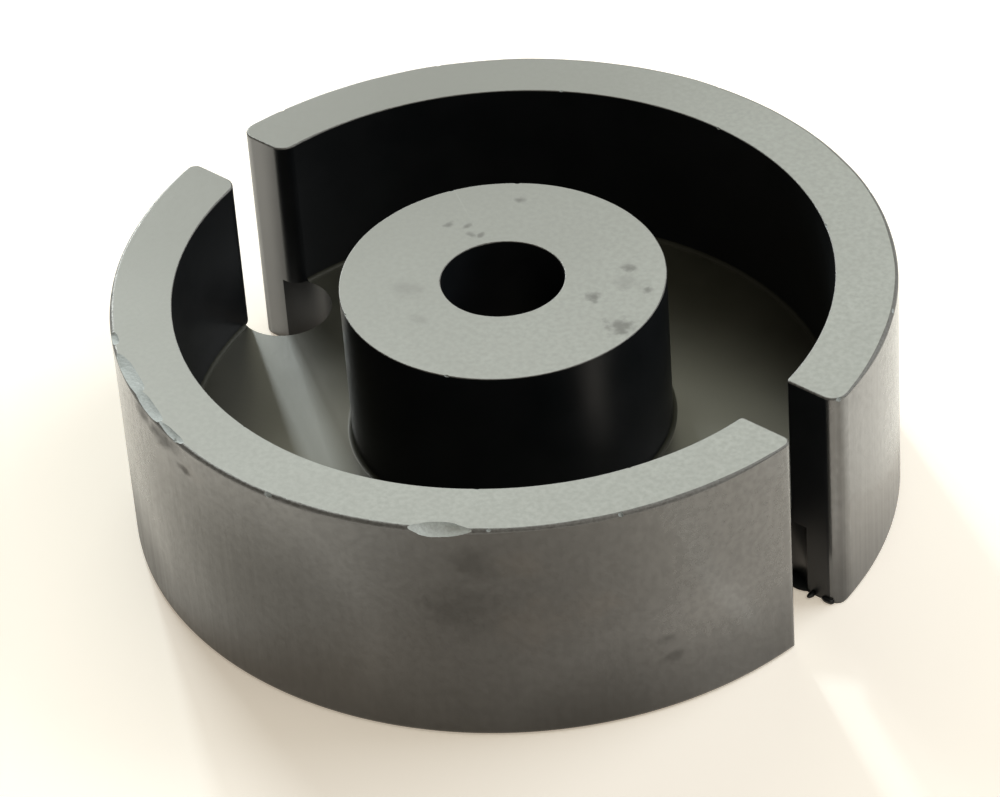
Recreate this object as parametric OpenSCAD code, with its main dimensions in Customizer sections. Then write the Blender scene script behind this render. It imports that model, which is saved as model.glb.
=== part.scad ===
// Half of a ferrite pot core: a round cup with a bored centre post and two wire slots.
// It stands on its base with the post along Z and the wire slots on the X axis.
// Sizes are in millimetres.

/* [Cup] */
// Outside diameter
outer_d = 48; // [46:0.1:54]
// Inside diameter of the skirt
inner_d = 40.4; // [38:0.1:42]
// Height from the base to the mating face
half_height = 15.7; // [14:0.1:20]
// Depth of the winding space below the mating face
winding_depth = 10.7; // [8:0.1:11.5]

/* [Post] */
// Diameter of the centre post
post_d = 20; // [16:0.1:24]
// Diameter of the bore through the post
bore_d = 7.6; // [4:0.1:10]

/* [Wire slots] */
// Width of a slot in the skirt
slot_w = 4.2; // [3:0.1:5]
// Distance between the closed ends of the two slots
slot_span = 32.4; // [29:0.1:35]
// Radius of a slot's round end in the floor, wider than the slot
slot_end_r = 3; // [2.9:0.1:3.6]

/* [Edges] */
// Rounding of the slot's edges on the outside of the skirt
slot_outer_r = 0.6; // [0.4:0.1:1.4]
// Rounding of the slot's edges on the inside of the skirt
slot_inner_r = 0.7; // [0.4:0.1:1]
// Fillet where the floor meets the post and the skirt
floor_fillet = 0.3; // [0.2:0.1:1.2]
// Rounding of the outer edge of the base
base_edge_r = 0.4; // [0.2:0.1:1.5]
// Chamfer of the bore's mouth in the base
bore_chamfer = 0.4; // [0.2:0.1:1]

/* [Hidden] */
$fn = 128;
// How far a cut runs past the face it opens
over = 2;
// How far a rounding runs past the curved wall it blends into
blend_lap = 0.002;
outer_r = outer_d / 2;
inner_r = inner_d / 2;
post_r = post_d / 2;
bore_r = bore_d / 2;
floor_z = half_height - winding_depth;
// Radius of the flat part of the floor
floor_r = inner_r - floor_fillet;
slot_side = slot_w / 2;
// Distance from the axis to the centre of a slot's round end
slot_end = slot_span / 2 + slot_end_r;
// Distance from the axis to the start of a slot's straight part, inside its round end
slot_start = slot_end - slot_end_r / 2;

// What rounding takes off a square corner at the origin, with the solid in the first quadrant
module corner(r) {
    difference() {
        translate([-r, -r])
            square(2 * r);
        translate([r, r])
            circle(r);
    }
}

// Half section of the winding space, in radius and height
module winding_section() {
    width = inner_r - post_r;
    translate([post_r, floor_z])
        difference() {
            square([width, winding_depth + over]);
            corner(floor_fillet);
            translate([width, 0])
                mirror([1, 0])
                    corner(floor_fillet);
        }
}

// Half section of the turned form, in radius and height
module core_section() {
    difference() {
        translate([bore_r, 0])
            square([outer_r - bore_r, half_height]);
        winding_section();
        translate([outer_r, 0])
            mirror([1, 0])
                corner(base_edge_r);
        polygon([
            [bore_r - bore_chamfer, -bore_chamfer],
            [bore_r + 2 * bore_chamfer, -bore_chamfer],
            [bore_r - bore_chamfer, 2 * bore_chamfer]
        ]);
    }
}

// Plan of one slot: its round end in the floor, its straight part and its rounded outer edges
module slot_plan() {
    side = slot_side + slot_outer_r;
    reach = outer_r - slot_outer_r + blend_lap;
    along = sqrt(reach * reach - side * side);
    intersection() {
        translate([slot_end, 0])
            circle(slot_end_r);
        circle(floor_r);
    }
    translate([slot_start, -slot_side])
        square([outer_r - slot_start + over, slot_w]);
    for (hand = [-1, 1])
        difference() {
            polygon([
                [along, 0],
                [outer_r + over, 0],
                [outer_r + over, hand * side * (outer_r + over) / along],
                [along, hand * side]
            ]);
            translate([along, hand * side])
                circle(slot_outer_r);
        }
}

// Plan of what the rounded inner edges of one slot take off the skirt
module slot_inner_plan() {
    side = slot_side + slot_inner_r;
    reach = inner_r + slot_inner_r - blend_lap;
    along = sqrt(reach * reach - side * side);
    inward = floor_r / reach;
    for (hand = [-1, 1])
        difference() {
            polygon([
                [along, 0],
                [along * inward, 0],
                [along * inward, hand * side * inward],
                [along, hand * side]
            ]);
            translate([along, hand * side])
                circle(slot_inner_r);
        }
}

// One wire slot on the +X side, through the skirt and the base
module wire_slot() {
    translate([0, 0, -over])
        linear_extrude(half_height + 2 * over)
            slot_plan();
    translate([0, 0, floor_z])
        linear_extrude(winding_depth + over)
            slot_inner_plan();
}

// The whole core half, one pressed and fired piece
module core_half() {
    color([0.22, 0.22, 0.22])
        difference() {
            rotate_extrude()
                core_section();
            wire_slot();
            mirror([1, 0, 0])
                wire_slot();
        }
}

core_half();
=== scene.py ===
"""Half of a ferrite pot core, standing on a pale table with its ground mating faces up.

The cup is spun from a half section and the two wire slots are cut through it. Its edges are then broken
by a bevel that is wider where the rim is worn, and chips are cut out of it where the real core has lost
material. Lengths are in millimetres until the mesh is finished, and in metres in the scene.
"""
import math
import random
import bmesh
import bpy
from mathutils import Matrix, Vector, noise


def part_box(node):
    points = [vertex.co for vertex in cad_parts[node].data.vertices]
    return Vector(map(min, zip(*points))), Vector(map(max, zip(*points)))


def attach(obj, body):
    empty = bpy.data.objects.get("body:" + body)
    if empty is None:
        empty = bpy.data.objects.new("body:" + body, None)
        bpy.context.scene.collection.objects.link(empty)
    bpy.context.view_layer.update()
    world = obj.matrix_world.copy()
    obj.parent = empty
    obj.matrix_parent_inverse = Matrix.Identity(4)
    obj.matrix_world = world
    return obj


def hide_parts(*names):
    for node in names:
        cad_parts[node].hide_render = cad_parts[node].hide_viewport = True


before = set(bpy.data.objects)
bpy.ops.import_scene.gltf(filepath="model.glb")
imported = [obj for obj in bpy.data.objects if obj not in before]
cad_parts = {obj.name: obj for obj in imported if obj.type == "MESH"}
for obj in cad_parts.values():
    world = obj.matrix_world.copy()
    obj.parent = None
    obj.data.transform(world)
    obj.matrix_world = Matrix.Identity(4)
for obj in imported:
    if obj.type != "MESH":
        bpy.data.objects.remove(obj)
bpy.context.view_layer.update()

# Sizes of the core half, in millimetres
METRES = 0.001
_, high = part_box("core_half")
half_height = high.z / METRES
outer_r = high.y / METRES
skirt_wall = 3.8
inner_r = outer_r - skirt_wall
post_r = 10.0
bore_r = 3.8
winding_depth = 10.7
floor_z = half_height - winding_depth
floor_fillet = 0.3
base_edge_r = 0.4
bore_chamfer = 0.4

# Wire slots: half their width, how near the round end comes to the axis, its radius and its middle
slot_side = 2.1
slot_end_near = 16.2
slot_end_r = 3.0
slot_end = slot_end_near + slot_end_r
# Where the straight part starts, inside the round end
slot_start = slot_end - slot_end_r / 2
# Rounding of the outer edges, which are worn rounder at y > 0
slot_outer_r = 0.6
worn_outer_r = 1.0
# Rounding of the inner edges of the front slot and of the rear slot
front_inner_r = 0.3
rear_inner_r = 1.0

# How finely the round forms are drawn
spin_steps = 480
arc_segments = 8
slot_end_segments = 96
# Points this close together become one, and short edges round the mating face are closed up
same_point = 0.001
short_edge = 0.03
# How far a cut runs past the face it opens, and how far over the floor two of the cuts stop or start
over = 2.0
slot_end_rise = 0.05
inner_edge_rise = 0.03
# How far a cut runs on past the rounding of an outer and of an inner edge, as a share of it
outer_flare = 1.6
inner_flare = 1.02
# What is above this height lies on the mating plane
plane_z = half_height - 0.01
# A face lies square to an axis when its normal has this share along it
square = 0.99
# Edges that turn more than the first angle are broken, and more than the second are drawn hard
broken_from = math.radians(50)
hard_from = math.radians(38)

# Break of the ground edges: the widest, on the outer rim, and the share of it elsewhere and beside a slot
rim_break = 0.28
fine_break = 0.25
slot_break = 0.4
# The break is even up to this distance from a slot's middle, and then changes over a short way
slot_zone = 4.0
slot_fade_start = slot_zone + 0.3
slot_fade = 3.0

# Pale chips along the rim: azimuth in degrees, height of the middle, and reach outward, along and up.
# A chip whose middle is above the rim runs out flat on top.
chips = [
    (-129.5, half_height + 0.20, (0.50, 1.10, 0.33)),
    (-120.0, half_height + 0.25, (1.10, 4.10, 0.36)),
    (-112.0, half_height + 0.25, (1.05, 3.00, 0.37)),
    (-104.5, half_height + 0.22, (0.65, 2.10, 0.34)),
    (5.9, half_height, (0.35, 0.30, 0.40)),
]
# The chip at the front of the rim is paler: painted light, as it faces away from the lamps
front_chip = (-58.5, half_height + 0.10, (0.72, 1.90, 0.62))
# Small nicks along the ground edges: how many, radius of the edge, and size
nick_rows = [
    (16, outer_r, 0.18),
    (10, inner_r, 0.10),
    (8, post_r, 0.10),
]
# Burrs left at the foot of the front slot: place, and reach along each axis
burrs = [
    ((20.35, 2.45, 0.14), (1.35, 0.65, 0.16)),
    ((21.75, 1.95, 0.14), (0.20, 0.42, 0.17)),
    ((22.85, 2.10, 0.15), (0.45, 0.24, 0.20)),
]
burr_bottom = 0.01
# How uneven a chip or a burr is, as a share of its reach, and how fine its lumps are
lump_depth = 0.2
lump_scale = 1.6


def finish_mesh(piece):
    """Makes the modifiers' result the piece's own mesh."""
    graph = bpy.context.evaluated_depsgraph_get()
    before = piece.data
    mesh = bpy.data.meshes.new_from_object(piece.evaluated_get(graph))
    piece.modifiers.clear()
    piece.data = mesh
    bpy.data.meshes.remove(before)


def new_piece(name, form):
    """An object in the scene that holds the bmesh, which is freed."""
    mesh = bpy.data.meshes.new(name)
    form.to_mesh(mesh)
    form.free()
    piece = bpy.data.objects.new(name, mesh)
    bpy.context.scene.collection.objects.link(piece)
    return piece


def edit_mesh(piece):
    """The piece's mesh as a bmesh."""
    form = bmesh.new()
    form.from_mesh(piece.data)
    return form


def put_back(form, piece):
    """Writes the bmesh into the piece's mesh and frees it."""
    form.to_mesh(piece.data)
    form.free()


def trim(form, point, normal):
    """Cuts off what lies beyond a plane, on the side its normal points to, and closes the cut."""
    everything = list(form.verts) + list(form.edges) + list(form.faces)
    bmesh.ops.bisect_plane(form, geom=everything, dist=0.0001, plane_co=point, plane_no=normal,
                           clear_outer=True)
    bmesh.ops.holes_fill(form, edges=[edge for edge in form.edges if edge.is_boundary], sides=0)


def combine(piece, tool, operation):
    """Cuts the tool out of the piece or joins it on, and removes the tool."""
    step = piece.modifiers.new("combine", "BOOLEAN")
    step.operation = operation
    step.solver = "MANIFOLD"
    step.material_mode = "TRANSFER"
    step.object = tool
    finish_mesh(piece)
    bpy.data.objects.remove(tool)


def round_corner(form, corner, reach):
    """Rounds one corner of a flat outline; the arc starts at this distance from the corner."""
    bmesh.ops.bevel(form, geom=[corner], offset=reach, offset_type="OFFSET", affect="VERTICES",
                    segments=arc_segments, profile=0.5, material=-1)


def turned_cup():
    """The turned form without slots: a half section spun round the bore."""
    form = bmesh.new()
    start = Matrix.Rotation(math.pi / spin_steps, 4, "Z")
    section = {
        "bore_mouth": (bore_r + bore_chamfer, 0),
        "base_edge": (outer_r, 0),
        "rim_outer": (outer_r, half_height),
        "rim_inner": (inner_r, half_height),
        "skirt_foot": (inner_r, floor_z),
        "post_foot": (post_r, floor_z),
        "post_top": (post_r, half_height),
        "bore_top": (bore_r, half_height),
        "bore_chamfer": (bore_r, bore_chamfer),
    }
    corners = {name: form.verts.new(start @ Vector((r, 0, z))) for name, (r, z) in section.items()}
    form.faces.new(corners.values())
    round_corner(form, corners["base_edge"], base_edge_r)
    round_corner(form, corners["skirt_foot"], floor_fillet)
    round_corner(form, corners["post_foot"], floor_fillet)
    bmesh.ops.delete(form, geom=list(form.faces), context="FACES_ONLY")
    bmesh.ops.spin(form, geom=list(form.verts) + list(form.edges), cent=(0, 0, 0), axis=(0, 0, 1),
                   angle=2 * math.pi, steps=spin_steps, use_merge=True)
    bmesh.ops.remove_doubles(form, verts=list(form.verts), dist=same_point)
    bmesh.ops.recalc_face_normals(form, faces=list(form.faces))
    return new_piece("core_half_finish", form)


def mouth(wall_r, edge_r, inward):
    """Corner between a slot's side and the wall's tangent, and the point where the edge's rounding ends."""
    reach = wall_r - inward * edge_r
    turn = math.asin((slot_side + edge_r) / reach)
    touch = Vector((wall_r * math.cos(turn), wall_r * math.sin(turn)))
    corner = Vector(((wall_r - slot_side * math.sin(turn)) / math.cos(turn), slot_side))
    return corner, touch


def upright(form, upper_half, rounded, bottom, top):
    """A prism on a plan that is its own mirror image in the X axis.

    upper_half lists its corners at y > 0, and rounded gives the reach of the rounding at some of them.
    """
    upper = [form.verts.new((x, y, bottom)) for x, y in upper_half]
    lower = [form.verts.new((x, -y, bottom)) for x, y in reversed(upper_half)]
    form.faces.new(upper + lower)
    count = len(upper_half)
    for place, reach in rounded.items():
        round_corner(form, upper[place], reach)
        round_corner(form, lower[count - 1 - place], reach)
    raised = bmesh.ops.extrude_face_region(form, geom=list(form.faces))["geom"]
    moved = [item for item in raised if isinstance(item, bmesh.types.BMVert)]
    bmesh.ops.translate(form, verts=moved, vec=(0, 0, top - bottom))
    bmesh.ops.recalc_face_normals(form, faces=list(form.faces))


def slot_tool(edge_r):
    """What the straight part of the slot on the +X side takes away, with its rounded outer edges."""
    corner, touch = mouth(outer_r, edge_r, 1)
    flare = corner + (touch - corner) * outer_flare
    plan = [(slot_start, slot_side), tuple(corner), tuple(flare), (outer_r + over, flare.y)]
    form = bmesh.new()
    upright(form, plan, {1: (touch - corner).length}, -over, half_height + over)
    return new_piece("slot_tool", form)


def half_of(tool, side):
    """Keeps the part of a tool at y > 0, or at y < 0 if the side is -1."""
    form = edit_mesh(tool)
    trim(form, (0, 0, 0), (0, -side, 0))
    put_back(form, tool)
    return tool


def slot_end_tool():
    """What that slot's round end takes out of the floor and base, also under the skirt's inner edges."""
    form = bmesh.new()
    top = floor_z + slot_end_rise
    middle = Matrix.Translation((slot_end, 0, (top - over) / 2))
    bmesh.ops.create_cone(form, cap_ends=True, segments=slot_end_segments, depth=top + over, matrix=middle,
                          radius1=slot_end_r, radius2=slot_end_r)
    return new_piece("slot_end_tool", form)


def slot_inner_tool(edge_r):
    """What the rounded edges of that slot take off the inside of the skirt."""
    corner, touch = mouth(inner_r, edge_r, -1)
    reach = (touch - corner).length
    flare = corner + (touch - corner) * inner_flare
    start = (corner.x + reach * inner_flare, slot_side)
    plan = [start, tuple(corner), tuple(flare), (flare.x - over, flare.y)]
    form = bmesh.new()
    upright(form, plan, {1: reach}, floor_z + inner_edge_rise, half_height + over)
    return new_piece("slot_inner_tool", form)


def cut_slots(cup):
    """Cuts both slots; the second is the first one turned half round the bore."""
    for turn, side, edge_r in ((0, 1, front_inner_r), (math.pi, -1, rear_inner_r)):
        tools = [slot_tool(slot_outer_r), half_of(slot_tool(worn_outer_r), side)]
        tools += [slot_end_tool(), slot_inner_tool(edge_r)]
        for tool in tools:
            tool.data.transform(Matrix.Rotation(turn, 4, "Z"))
            combine(cup, tool, "DIFFERENCE")


def on_skirt(place):
    """True outside the winding space."""
    return place.xy.length > inner_r - 1


def plain_rim(cup):
    """Makes the mating face beside each slot one face, with no short edges round it."""
    form = edit_mesh(cup)
    bmesh.ops.remove_doubles(form, verts=list(form.verts), dist=same_point)
    rim = [vert for vert in form.verts if vert.co.z > plane_z]
    bmesh.ops.remove_doubles(form, verts=rim, dist=short_edge)
    beside = []
    for face in form.faces:
        middle = face.calc_center_median()
        if face.normal.z > square and middle.z > plane_z and on_skirt(middle) and abs(middle.y) < slot_zone:
            beside.append(face)
    bmesh.ops.dissolve_faces(form, faces=beside, use_verts=True)
    put_back(form, cup)


def wear_at(place):
    """How much an edge is worn at a place, in long and short waves along it."""
    return 0.8 + 0.5 * noise.noise(place * 0.7) + 0.35 * noise.noise(place * 2.3)


def edge_break(edge):
    """How wide an edge is broken, as a share of the outer rim's break, or 0 where it is left alone."""
    middle = (edge.verts[0].co + edge.verts[1].co) / 2
    if middle.z < plane_z or edge.calc_face_angle(0) < broken_from:
        return 0.0
    wear = wear_at(middle)
    if not on_skirt(middle):
        return fine_break * wear
    share = 1 if middle.xy.length > (inner_r + outer_r) / 2 else fine_break
    away = min(max((abs(middle.y) - slot_fade_start) / slot_fade, 0), 1)
    return slot_break + (share * wear - slot_break) * away


def break_edges(cup):
    """Bevels the ground edges, wider on the outer rim, and as unevenly as they are worn."""
    form = edit_mesh(cup)
    weight = form.edges.layers.float.new("bevel_weight_edge")
    for edge in form.edges:
        edge[weight] = edge_break(edge)
    put_back(form, cup)
    bevel = cup.modifiers.new("edge break", "BEVEL")
    bevel.limit_method = "WEIGHT"
    bevel.width = rim_break
    bevel.segments = 3
    bevel.profile = 0.5
    bevel.use_clamp_overlap = False
    finish_mesh(cup)


def ragged_ball(form, seed, reach, place):
    """Adds a ball with an uneven skin, stretched to its reach along each axis and put in its place."""
    ball = bmesh.ops.create_icosphere(form, subdivisions=3, radius=1.0)["verts"]
    shift = Vector((seed * 3.7, seed * 1.9, seed * 5.3))
    for vert in ball:
        vert.co *= 1 + lump_depth * noise.noise(vert.co * lump_scale + shift)
    bmesh.ops.transform(form, verts=ball, matrix=place @ Matrix.Diagonal((*reach, 1)))


def at_wall(azimuth, radius, height):
    """Place on a round wall: X points outward, Y along the wall and Z up."""
    return Matrix.Rotation(math.radians(azimuth), 4, "Z") @ Matrix.Translation((radius, 0, height))


def small_nicks():
    """Nicks strewn along the ground edges, clear of the slots: place and reach."""
    dice = random.Random(8)
    nicks = []
    for count, radius, size in nick_rows:
        for step in range(count):
            azimuth = (step + dice.uniform(0.2, 0.8)) * 360 / count
            reach = [size * dice.uniform(0.6, 1.3) for _ in range(3)]
            place = at_wall(azimuth, radius, half_height)
            if abs(place.translation.y) > slot_zone + 1:
                nicks.append((place, (reach[0], 1.5 * reach[1], reach[2])))
    return nicks


def cut_balls(cup, balls, skin):
    """Cuts ragged balls, clear of each other, out of the cup in one go; the broken faces get this skin."""
    form = bmesh.new()
    for seed, (place, reach) in enumerate(balls):
        ragged_ball(form, seed, reach, place)
    tool = new_piece("chip_tool", form)
    tool.data.materials.append(skin)
    combine(cup, tool, "DIFFERENCE")


def rim_ball(azimuth, height, reach):
    """Place and reach of the ball that cuts a chip out of the rim."""
    return at_wall(azimuth, outer_r, height), reach


def cut_chips(cup, fracture, lit_fracture):
    """Cuts the chips and nicks; neighbours overlap, so every second chip is cut in a turn of its own."""
    rim = [rim_ball(*chip) for chip in chips]
    cut_balls(cup, rim[0::2], fracture)
    cut_balls(cup, rim[1::2], fracture)
    cut_balls(cup, [rim_ball(*front_chip)], lit_fracture)
    cut_balls(cup, small_nicks(), fracture)


def join_burrs(cup, skin):
    """Joins the burrs on, with their undersides level with the base."""
    for seed, (place, reach) in enumerate(burrs):
        form = bmesh.new()
        ragged_ball(form, 40 + seed, reach, Matrix.Translation(place))
        trim(form, (0, 0, burr_bottom), (0, 0, -1))
        burr = new_piece("burr", form)
        burr.data.materials.append(skin)
        combine(cup, burr, "UNION")


def smooth_shading(cup, skins):
    """Smooth faces, with hard edges where the form has them and round the chips, which have these skins."""
    cup.data.shade_smooth()
    cup.data.set_sharp_from_angle(angle=hard_from)
    broken = [cup.data.materials.find(skin.name) for skin in skins]
    form = edit_mesh(cup)
    for edge in form.edges:
        if len({face.material_index in broken for face in edge.link_faces}) == 2:
            edge.smooth = False
    put_back(form, cup)
    cup.modifiers.new("flat faces stay flat", "WEIGHTED_NORMAL").keep_sharp = True
    finish_mesh(cup)


def add(tree, kind, inputs=None, **settings):
    """A node with its settings; an input takes a value, or the output that feeds it."""
    made = tree.nodes.new(kind)
    for name, value in settings.items():
        setattr(made, name, value)
    for name, value in (inputs or {}).items():
        if isinstance(value, bpy.types.NodeSocket):
            tree.links.new(value, made.inputs[name])
        else:
            made.inputs[name].default_value = value
    return made


def new_group(name, vectors, values):
    """An empty node group that takes these vectors and values and gives a mask, and its end nodes."""
    tree = bpy.data.node_groups.new(name, "ShaderNodeTree")
    for label in vectors:
        tree.interface.new_socket(label, in_out="INPUT", socket_type="NodeSocketVector")
    for label in values:
        tree.interface.new_socket(label, in_out="INPUT", socket_type="NodeSocketFloat")
    tree.interface.new_socket("Mask", in_out="OUTPUT", socket_type="NodeSocketFloat")
    return tree, add(tree, "NodeGroupInput").outputs, add(tree, "NodeGroupOutput").inputs


def math_of(tree, operation, *values):
    """Result of a math node on these values."""
    return add(tree, "ShaderNodeMath", dict(enumerate(values)), operation=operation).outputs[0]


def vector_of(tree, operation, first, second):
    """Result of a vector math node on these two."""
    return add(tree, "ShaderNodeVectorMath", {0: first, 1: second}, operation=operation).outputs[0]


def noise_in(tree, place, size, detail):
    """Cloud noise whose lumps are about this many millimetres wide."""
    scale = math_of(tree, "DIVIDE", 1.0, size)
    cloud = add(tree, "ShaderNodeTexNoise", {"Vector": place, "Scale": scale, "Detail": detail})
    return cloud.outputs["Fac"]


def patches_group():
    """Soft patches: 0 where the noise is under Low and 1 where it is over High."""
    tree, given, result = new_group("patches", ["Place"], ["Size", "Low", "High"])
    cloud = noise_in(tree, given["Place"], given["Size"], 5.0)
    ends = {"Value": cloud, "From Min": given["Low"], "From Max": given["High"]}
    mask = add(tree, "ShaderNodeMapRange", ends, interpolation_type="SMOOTHSTEP")
    tree.links.new(mask.outputs["Result"], result["Mask"])
    return tree


def streaks_group():
    """Upright streaks, as the press leaves them on a wall."""
    tree, given, result = new_group("streaks", ["Place"], ["Size"])
    drawn = vector_of(tree, "MULTIPLY", given["Place"], (1.0, 1.0, 0.04))
    cloud = noise_in(tree, drawn, given["Size"], 3.0)
    mask = add(tree, "ShaderNodeMapRange", {"Value": cloud, "From Min": 0.35, "From Max": 0.65})
    tree.links.new(mask.outputs["Result"], result["Mask"])
    return tree


def spot_group():
    """One mark: 1 in its middle and 0 outside its spread; the cloud makes its edge as ragged as asked."""
    tree, given, result = new_group("spot", ["Place", "Centre", "Spread"], ["Cloud", "Ragged"])
    offset = vector_of(tree, "SUBTRACT", given["Place"], given["Centre"])
    share = vector_of(tree, "DIVIDE", offset, given["Spread"])
    far = add(tree, "ShaderNodeVectorMath", {0: share}, operation="LENGTH").outputs["Value"]
    wave = math_of(tree, "ADD", given["Cloud"], -0.5)
    bent = math_of(tree, "MULTIPLY_ADD", wave, given["Ragged"], far)
    mask = add(tree, "ShaderNodeMapRange", {"Value": bent, "From Min": 1.0, "From Max": 0.1},
               interpolation_type="SMOOTHSTEP")
    tree.links.new(mask.outputs["Result"], result["Mask"])
    return tree


patches = patches_group()
streaks = streaks_group()
spot = spot_group()


def new_material(name):
    """A node material with its shader, and the place on the piece in millimetres."""
    material = bpy.data.materials.new(name)
    material.use_nodes = True
    tree = material.node_tree
    tree.nodes.clear()
    shader = add(tree, "ShaderNodeBsdfPrincipled")
    add(tree, "ShaderNodeOutputMaterial", {"Surface": shader.outputs["BSDF"]})
    point = add(tree, "ShaderNodeTexCoord").outputs["Object"]
    place = add(tree, "ShaderNodeMapping", {"Vector": point, "Scale": (1 / METRES,) * 3}).outputs["Vector"]
    return material, tree, shader, place


def patchy(tree, place, size, low_end, high_end):
    """Mask of soft patches of this size."""
    return add(tree, "ShaderNodeGroup", {"Place": place, "Size": size, "Low": low_end, "High": high_end},
               node_tree=patches).outputs["Mask"]


def streaky(tree, place, size):
    """Mask of upright streaks of this width."""
    return add(tree, "ShaderNodeGroup", {"Place": place, "Size": size}, node_tree=streaks).outputs["Mask"]


def marked(tree, place, size, marks):
    """Mask of a list of marks, each with its centre, its spread and how ragged its edge is."""
    cloud = noise_in(tree, place, size, 4.0)
    whole = None
    for centre, spread, ragged in marks:
        inputs = {"Place": place, "Centre": centre, "Spread": spread, "Cloud": cloud, "Ragged": ragged}
        mask = add(tree, "ShaderNodeGroup", inputs, node_tree=spot).outputs["Mask"]
        whole = math_of(tree, "MAXIMUM", whole, mask) if whole else mask
    return whole


def blend(tree, share, first, second):
    """Colour that goes from the first to the second as the share goes from 0 to 1."""
    ends = [end if isinstance(end, bpy.types.NodeSocket) else (*end, 1) for end in (first, second)]
    return add(tree, "ShaderNodeMix", {0: share, 6: ends[0], 7: ends[1]}, data_type="RGBA").outputs[2]


def level(tree, share, at_0, at_1):
    """Value that goes from one level to another as the share goes from 0 to 1."""
    ramp = add(tree, "ShaderNodeMapRange", {"Value": share, "To Min": at_0, "To Max": at_1})
    return ramp.outputs["Result"]


def product(tree, first, second):
    """One value times another."""
    return math_of(tree, "MULTIPLY", first, second)


def relief(tree, shader, height, depth):
    """Fine relief of this depth in millimetres."""
    bump = add(tree, "ShaderNodeBump", {"Height": height, "Strength": 1.0, "Distance": depth * METRES})
    tree.links.new(bump.outputs["Normal"], shader.inputs["Normal"])


def on_wall(azimuth, height):
    """Point on the outer wall."""
    return tuple(at_wall(azimuth, outer_r, height).translation)


# Marks on the outer wall, each with its centre, its spread and how ragged its edge is.
# Painted shade: broad dull, warm patches where the wall mirrors the table's shadow in front of it
shade_film_marks = [
    (on_wall(-54.6, 10.2), (17.9, 17.9, 20.9), 0.12),
    (on_wall(-83.9, 7.8), (16.3, 16.3, 11.3), 0.12),
    (on_wall(-40.4, -2.5), (10.7, 10.7, 20.2), 0.15),
    (on_wall(-124.0, 0.5), (9.0, 9.0, 9.5), 0.12),
]
# Painted shade: a dull band at the foot, where the wall mirrors the table's shadow at the base
foot_shade_marks = [
    ((0.0, 0.0, -0.2), (60.0, 60.0, 8.0), 0.1),
]
# Brown stains
brown_marks = [
    (on_wall(-47.6, 13.0), (1.8, 1.8, 1.4), 1.4),
    (on_wall(-37.0, 9.3), (2.8, 2.8, 1.6), 1.6),
    (on_wall(-46.0, 8.6), (3.4, 3.4, 2.6), 1.8),
    (on_wall(-100.0, 14.0), (1.6, 1.6, 0.8), 1.2),
]
# Dark specks, and a dark stripe on the rounded edge of each slot
dark_marks = [
    (on_wall(-54.5, 13.2), (2.2, 2.2, 2.0), 1.4),
    (on_wall(-56.0, 9.8), (3.6, 3.6, 2.6), 1.2),
    (on_wall(-27.6, 5.5), (0.7, 0.7, 0.45), 1.2),
    (on_wall(-26.6, 4.0), (1.3, 1.3, 0.5), 1.4),
    ((23.87, 2.45, half_height / 2), (0.55, 0.55, 40.0), 0.3),
    ((-23.30, 2.40, half_height / 2), (1.00, 1.00, 40.0), 0.3),
]
# Painted shade under the chips on the left, where their undersides are in shadow
chip_shade_marks = [
    (on_wall(-113.0, 15.0), (2.0, 2.0, 0.75), 1.2),
    (on_wall(-107.0, 14.9), (2.6, 2.6, 1.0), 1.2),
    (on_wall(-101.4, 13.90), (0.8, 0.8, 0.45), 1.6),
]
# Painted light: the right side of the wall is paler, where the light from the right falls on it
painted_light_marks = [
    (on_wall(18.0, 8.0), (14.0, 14.0, 16.0), 0.4),
]
# Painted reflection: a place with more gloss, where the wall mirrors the brightly lit table
reflection_marks = [
    (on_wall(-21.0, 6.8), (4.5, 4.5, 2.6), 0.8),
]


def outer_ferrite():
    """Fired skin outside: nearly black under a semi-matt gloss, dull or brown in places, with streaks, and
    with painted shade, painted light and a painted reflection laid over it.
    """
    material, tree, shader, place = new_material("outer_ferrite")
    cloud = patchy(tree, place, 4.0, 0.3, 0.7)
    line = streaky(tree, place, 0.45)
    # Painted shade: the shade film darkens and warms the wall where it mirrors the shaded table
    shade_film = marked(tree, place, 3.0, shade_film_marks)
    brown = marked(tree, place, 1.2, brown_marks)
    painted_light = marked(tree, place, 1.0, painted_light_marks)
    colour = blend(tree, cloud, (0.014, 0.014, 0.013), (0.022, 0.021, 0.018))
    colour = blend(tree, product(tree, shade_film, 0.7), colour, (0.028, 0.024, 0.018))
    colour = blend(tree, product(tree, brown, 0.6), colour, (0.045, 0.034, 0.022))
    # Painted light: the right side of the wall is lightened
    colour = blend(tree, product(tree, painted_light, 0.35), colour, (0.15, 0.15, 0.145))
    gloss = level(tree, patchy(tree, place, 0.45, 0.3, 0.7), 1.0, 0.82)
    gloss = product(tree, gloss, level(tree, shade_film, 1.0, 0.36))
    # The gloss carries dark specks and slot stripes, a painted reflection, and painted shade at the foot
    # and under the chips
    for size, marks, share in ((0.8, dark_marks, 0.6), (1.5, reflection_marks, 1.12), (3.0, foot_shade_marks, 0.3),
                               (0.7, chip_shade_marks, 0.2)):
        gloss = product(tree, gloss, level(tree, marked(tree, place, size, marks), 1.0, share))
    tree.links.new(colour, shader.inputs["Base Color"])
    tree.links.new(gloss, shader.inputs["Coat Weight"])
    tree.links.new(level(tree, line, 0.42, 0.50), shader.inputs["Roughness"])
    shader.inputs["IOR"].default_value = 1.4
    shader.inputs["Coat IOR"].default_value = 2.4
    shader.inputs["Coat Roughness"].default_value = 0.18
    relief(tree, shader, line, 0.006)
    return material


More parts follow.
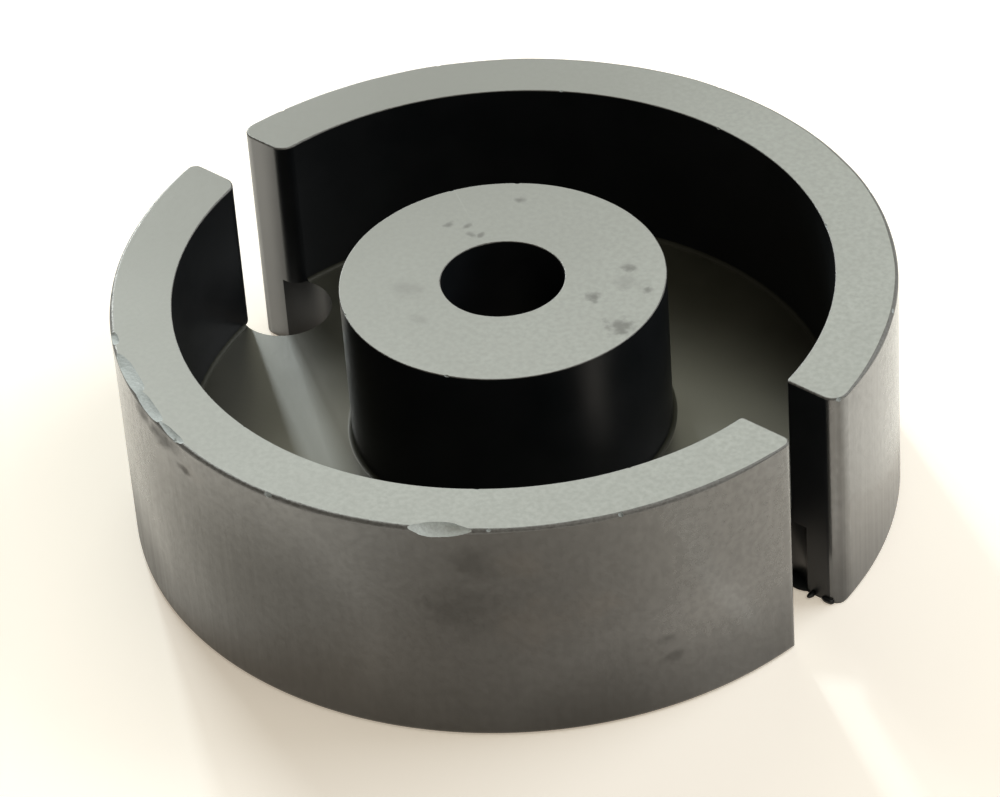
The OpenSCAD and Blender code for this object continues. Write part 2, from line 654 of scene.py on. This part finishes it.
def inner_ferrite(name):
    """Fired skin inside: black, smooth. Gives the material's parts, so that more can be laid over it."""
    material, tree, shader, place = new_material(name)
    cloud = patchy(tree, place, 3.0, 0.3, 0.7)
    colour = blend(tree, cloud, (0.0065, 0.0080, 0.0100), (0.0090, 0.0105, 0.0130))
    tree.links.new(colour, shader.inputs["Base Color"])
    tree.links.new(level(tree, cloud, 0.32, 0.38), shader.inputs["Roughness"])
    shader.inputs["IOR"].default_value = 1.43
    return material, tree, shader, place


# Painted shade: the side of the rear slot loses its gloss toward the winding space, so it is darker there
slot_shade = [
    ((-20.2, slot_side, 6.0), (2.2, 4.0, 30.0), 0.1),
]


def slot_ferrite():
    """The side of the rear slot: the same skin under a gloss, with painted shade toward the winding space.
    """
    material, tree, shader, place = inner_ferrite("slot_ferrite")
    slot_shade_mask = marked(tree, place, 2.0, slot_shade)
    tree.links.new(level(tree, slot_shade_mask, 1.0, 0.15), shader.inputs["Coat Weight"])
    shader.inputs["Coat IOR"].default_value = 1.75
    shader.inputs["Coat Roughness"].default_value = 0.2
    return material


def floor_ferrite(name, ior, rough):
    """Fired floor of the winding space: olive black, semi-matt."""
    material, tree, shader, place = new_material(name)
    cloud = patchy(tree, place, 4.0, 0.3, 0.7)
    fine = patchy(tree, place, 0.25, 0.3, 0.7)
    colour = blend(tree, cloud, (0.029, 0.030, 0.021), (0.040, 0.041, 0.030))
    tree.links.new(colour, shader.inputs["Base Color"])
    tree.links.new(level(tree, cloud, rough, rough + 0.06), shader.inputs["Roughness"])
    shader.inputs["IOR"].default_value = ior
    relief(tree, shader, fine, 0.0012)
    return material


# Smudges on the ground face of the post, some of them faint, and painted shade that darkens the mating
# faces toward the rear
post_smudges = [
    ((-4.4, 6.9, half_height), (0.50, 0.50, 1.0), 1.6),
    ((-6.3, 2.3, half_height), (0.35, 0.55, 1.0), 1.6),
    ((-5.3, 2.8, half_height), (0.30, 0.50, 1.0), 1.6),
    ((-4.5, 2.3, half_height), (0.50, 0.30, 1.0), 1.6),
    ((-4.0, 2.65, half_height), (0.30, 0.40, 1.0), 1.6),
    ((5.7, 1.8, half_height), (0.70, 0.70, 1.0), 1.8),
    ((5.6, 5.3, half_height), (0.60, 0.55, 1.0), 1.8),
    ((7.9, 4.2, half_height), (0.40, 0.40, 1.0), 1.6),
    ((8.9, 0.4, half_height), (1.20, 1.10, 1.0), 1.8),
]
faint_smudges = [
    ((-1.6, -6.1, half_height), (1.0, 0.6, 1.0), 1.6),
    ((-4.0, -4.2, half_height), (1.5, 1.1, 1.0), 1.6),
    ((6.3, 4.2, half_height), (1.3, 1.0, 1.0), 1.6),
]
rear_shade = [
    ((-30.0, 12.0, half_height), (55.0, 55.0, 55.0), 0.2),
]


def ground_ferrite():
    """Ground mating faces: satin mid grey with a fine grain, painted shade on the rear side, and smudged on
    the post.
    """
    material, tree, shader, place = new_material("ground_ferrite")
    grain = patchy(tree, place, 0.35, 0.25, 0.75)
    cloud = patchy(tree, place, 2.2, 0.3, 0.7)
    colour = blend(tree, grain, (0.345, 0.363, 0.351), (0.425, 0.446, 0.433))
    colour = blend(tree, product(tree, cloud, 0.25), colour, (0.345, 0.355, 0.345))
    # Painted shade: the mating faces get darker toward the rear
    colour = blend(tree, marked(tree, place, 9.0, rear_shade), colour, (0.225, 0.230, 0.218))
    faint = product(tree, marked(tree, place, 0.9, faint_smudges), 0.30)
    colour = blend(tree, faint, colour, (0.150, 0.148, 0.145))
    smudge = product(tree, marked(tree, place, 0.6, post_smudges), 0.6)
    colour = blend(tree, smudge, colour, (0.070, 0.066, 0.064))
    tree.links.new(colour, shader.inputs["Base Color"])
    tree.links.new(level(tree, grain, 0.50, 0.58), shader.inputs["Roughness"])
    shader.inputs["IOR"].default_value = 1.35
    relief(tree, shader, grain, 0.002)
    return material


def worn_ferrite(name, dark, light, rough, ior):
    """Edges rubbed bare, or the fresh face of a chip: grey with a coarse grain."""
    material, tree, shader, place = new_material(name)
    grain = patchy(tree, place, 0.18, 0.3, 0.7)
    tree.links.new(blend(tree, grain, dark, light), shader.inputs["Base Color"])
    tree.links.new(level(tree, grain, rough, rough + 0.12), shader.inputs["Roughness"])
    shader.inputs["IOR"].default_value = ior
    relief(tree, shader, grain, 0.010)
    return material


# Finishes of the cup, in the order in which it holds them
OUTER, INNER, FLOOR, GROUND, WORN_EDGE, REAR_SLOT, FOOT = range(7)


def finish_of(face):
    """Which finish a face of the cup has."""
    middle = face.center
    radius = middle.xy.length
    outward = face.normal.xy.dot(middle.xy) / max(radius, 0.1)
    if middle.z > plane_z and face.normal.z > square:
        return GROUND
    if middle.z > half_height - 1.5 * rim_break and face.normal.z > 0.2:
        return WORN_EDGE
    if face.normal.z < -0.5 or radius > outer_r - 1.2 and outward > 0.1:
        return OUTER
    if face.normal.z > square:
        return FLOOR
    if face.normal.z > 0.2:
        return FOOT
    in_slot = abs(face.normal.y) > square and middle.x < -inner_r - 0.3
    return REAR_SLOT if in_slot else INNER


def put_finish_on(cup, finishes):
    """Gives each face its finish."""
    cup.data.materials.clear()
    for material in finishes:
        cup.data.materials.append(material)
    for face in cup.data.polygons:
        face.material_index = finish_of(face)


finishes = [
    outer_ferrite(),
    inner_ferrite("inner_ferrite")[0],
    floor_ferrite("floor_ferrite", 1.75, 0.36),
    ground_ferrite(),
    worn_ferrite("worn_edge", (0.07, 0.07, 0.068), (0.13, 0.13, 0.128), 0.45, 1.9),
    slot_ferrite(),
    floor_ferrite("foot_ferrite", 1.4, 0.5),
]
fracture = worn_ferrite("fracture", (0.33, 0.37, 0.38), (0.42, 0.46, 0.475), 0.55, 1.35)
# A lit copy of the fracture for the front chip: painted light
lit_fracture = worn_ferrite("lit_fracture", (0.53, 0.58, 0.59), (0.63, 0.69, 0.70), 0.55, 1.35)
cup = turned_cup()
cut_slots(cup)
plain_rim(cup)
break_edges(cup)
put_finish_on(cup, finishes)
cut_chips(cup, fracture, lit_fracture)
join_burrs(cup, finishes[INNER])
cup.data.transform(Matrix.Scale(METRES, 4))
smooth_shading(cup, [fracture, lit_fracture])
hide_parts("core_half")
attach(cup, "root")


# How much lighter the table looks than it is lit
table_lift = 0.36


def table():
    """Wide white table top that keeps the shadow, seen and mirrored a little lighter than it is lit."""
    form = bmesh.new()
    bmesh.ops.create_grid(form, x_segments=8, y_segments=8, size=3.0)
    floor = new_piece("table_top", form)
    material = bpy.data.materials.new("white_table")
    material.use_nodes = True
    tree = material.node_tree
    tree.nodes.clear()
    matt = add(tree, "ShaderNodeBsdfDiffuse", {"Color": (0.9, 0.9, 0.9, 1)})
    path = add(tree, "ShaderNodeLightPath").outputs
    seen = path["Is Camera Ray"]
    for mirrored in (path["Is Glossy Ray"], path["Is Transmission Ray"]):
        seen = math_of(tree, "MAXIMUM", seen, mirrored)
    lift = product(tree, seen, table_lift)
    glow = add(tree, "ShaderNodeEmission", {"Color": (1.0, 0.86, 0.68, 1), "Strength": lift})
    both = add(tree, "ShaderNodeAddShader", {0: matt.outputs[0], 1: glow.outputs[0]})
    add(tree, "ShaderNodeOutputMaterial", {"Surface": both.outputs[0]})
    floor.data.materials.append(material)


def world_light():
    """Even warm light from all round."""
    world = bpy.data.worlds.new("room")
    bpy.context.scene.world = world
    world.use_nodes = True
    tree = world.node_tree
    tree.nodes.clear()
    sky = add(tree, "ShaderNodeBackground", {"Color": (1.0, 0.90, 0.74, 1), "Strength": 0.15})
    add(tree, "ShaderNodeOutputWorld", {"Surface": sky.outputs[0]})


def lamp(name, azimuth, elevation, distance, size, power, colour):
    """Square lamp that looks at the core; azimuth counts from +X, angles are in degrees."""
    around = math.radians(azimuth)
    rise = math.radians(elevation)
    toward = Vector((math.cos(around) * math.cos(rise), math.sin(around) * math.cos(rise), math.sin(rise)))
    light = bpy.data.lights.new(name, "AREA")
    light.size = size
    light.energy = power
    light.color = colour
    holder = bpy.data.objects.new(name, light)
    holder.location = toward * distance
    holder.rotation_mode = "QUATERNION"
    holder.rotation_quaternion = toward.to_track_quat("Z", "Y")
    bpy.context.scene.collection.objects.link(holder)


def camera():
    """Camera at the photograph's viewing angle."""
    aim = Vector((-0.0005, -0.0005, 0.0065))
    distance = 0.28955
    around = math.radians(42.98)
    rise = math.radians(37.95)
    roll = math.radians(-4.32)
    back = Vector((math.sin(around) * math.cos(rise), -math.cos(around) * math.cos(rise), math.sin(rise)))
    lens = bpy.data.cameras.new("camera")
    lens.sensor_width = 36
    lens.lens = 168.07
    lens.clip_start = 0.01
    lens.clip_end = 20
    holder = bpy.data.objects.new("camera", lens)
    holder.location = aim + back * distance
    turn = Matrix.Rotation(roll, 3, "Z")
    look = (-back).to_track_quat("-Z", "Y").to_matrix()
    holder.rotation_mode = "QUATERNION"
    holder.rotation_quaternion = (look @ turn).to_quaternion()
    bpy.context.scene.collection.objects.link(holder)
    bpy.context.scene.camera = holder


table()
world_light()
lamp("window", 133, 45, 0.6, 0.3, 0.5, (1.0, 1.0, 0.78))
lamp("side_window", 58, 40, 0.6, 0.4, 1.8, (0.97, 1.0, 1.0))
lamp("ceiling", -5, 60, 0.5, 0.4, 0.64, (1.0, 0.94, 0.80))
lamp("low_sun", 147.5, 25, 0.5, 0.03, 0.95, (0.92, 1.0, 0.97))
lamp("low_haze", 157, 25, 0.5, 0.1, 1.2, (0.97, 1.0, 0.96))
camera()
bpy.context.scene.view_settings.view_transform = "Standard"
